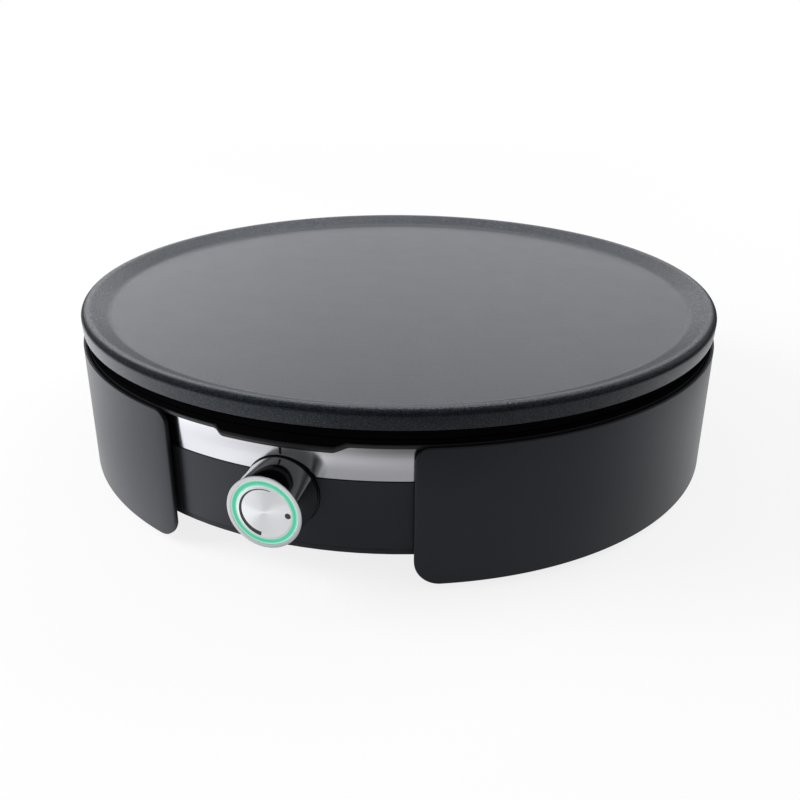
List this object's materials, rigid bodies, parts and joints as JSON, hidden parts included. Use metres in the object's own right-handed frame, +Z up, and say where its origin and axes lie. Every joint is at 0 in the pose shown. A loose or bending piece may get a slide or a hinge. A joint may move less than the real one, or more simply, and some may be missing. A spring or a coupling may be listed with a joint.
{
  "type": "electric crepe maker",
  "caption": "Round table-top crepe maker: flat non-stick baking plate with a raised rim over a drum body with curved side panels and a lit heat knob at the front.",
  "frame": {"origin": "on the table, on the vertical axis of the round baking plate", "axes": "+Z up, -Y to the front, out of the knob, +X to the right of a person at the knob"},
  "size_m": [0.351, 0.365, 0.088],
  "materials": {
    "baking_coating": "non-stick coating on cast aluminium, satin and slightly speckled",
    "black_plastic": "moulded, fine satin grain",
    "panel_plastic": "dark metallic paint, satin",
    "base_plastic": "moulded, plain",
    "brushed_band": "brushed along the band",
    "polished_sleeve": "polished",
    "spun_face": "spun, with fine circular lines",
    "light_diffuser": "frosted clear plastic",
    "clear_guide": "clear plastic",
    "zinc_steel": "zinc plated",
    "stainless": "plain stainless tube",
    "shield_steel": "aluminised sheet",
    "ceramic": "glazed ceramic",
    "rubber": "moulded",
    "nylon": "natural nylon",
    "phenolic": "brown phenolic",
    "board": "green circuit board",
    "lamp": "clear lamp body",
    "brass": "plain",
    "copper": "plain",
    "wire_brown": "silicone insulation",
    "wire_blue": "silicone insulation",
    "wire_green": "silicone insulation",
    "wire_white": "silicone insulation"
  },
  "bodies": {
    "appliance": {"baking_plate": "baking_coating", "collar": "black_plastic", "body_shell": "black_plastic", "base_plate": "base_plastic", "steel_band": "brushed_band", "side_panel_left": "panel_plastic", "side_panel_right": "panel_plastic", "knob_seat": "black_plastic", "light_board": "board", "lamps": "lamp", "rubber_feet": "rubber", "cord_bush": "rubber", "cord_clamp": "nylon", "heating_element": "stainless", "element_bushes": "ceramic", "element_terminals": "zinc_steel", "heat_shield": "shield_steel", "ceramic_spacers": "ceramic", "plate_screws": "zinc_steel", "collar_screws": "zinc_steel", "base_screws": "zinc_steel", "panel_screws": "zinc_steel", "panel_washers": "zinc_steel", "thermostat_bracket": "zinc_steel", "bracket_screws": "zinc_steel", "thermostat_body": "phenolic", "contact_blades": "brass", "capillary_tube": "copper", "sensor_bulb": "copper", "thermal_fuse": "brass", "sensor_straps": "stainless", "strap_screws": "zinc_steel", "terminal_block": "nylon", "terminal_screws": "zinc_steel", "earth_tab": "brass", "earth_screw": "zinc_steel", "clamp_screws": "zinc_steel", "live_wire": "wire_brown", "switched_wire": "wire_brown", "element_wire": "wire_brown", "neutral_wire": "wire_blue", "earth_wire": "wire_green", "light_lead": "wire_white"},
    "knob": {"knob_sleeve": "polished_sleeve", "knob_light_ring": "light_diffuser", "knob_light_guide": "clear_guide", "knob_face": "spun_face", "knob_core": "black_plastic", "knob_clip": "zinc_steel", "spindle": "zinc_steel"},
    "plunger": {"setting_plunger": "brass"}
  },
  "joints": [
    {"name": "knob_turn", "type": "hinge", "parent": "appliance", "child": "knob", "pos_m": [0, -0.1722, 0.0438], "axis": [0, 1, 0], "range_deg": [-90, 180]},
    {"name": "plunger_slide", "type": "slide", "parent": "appliance", "child": "plunger", "axis": [0, 1, 0], "range_m": [-0.0003, 0.0005]}
  ],
  "couplings": [
    {"joint": "plunger_slide", "follows": "knob_turn", "m_per_rad": 0.000159}
  ]
}
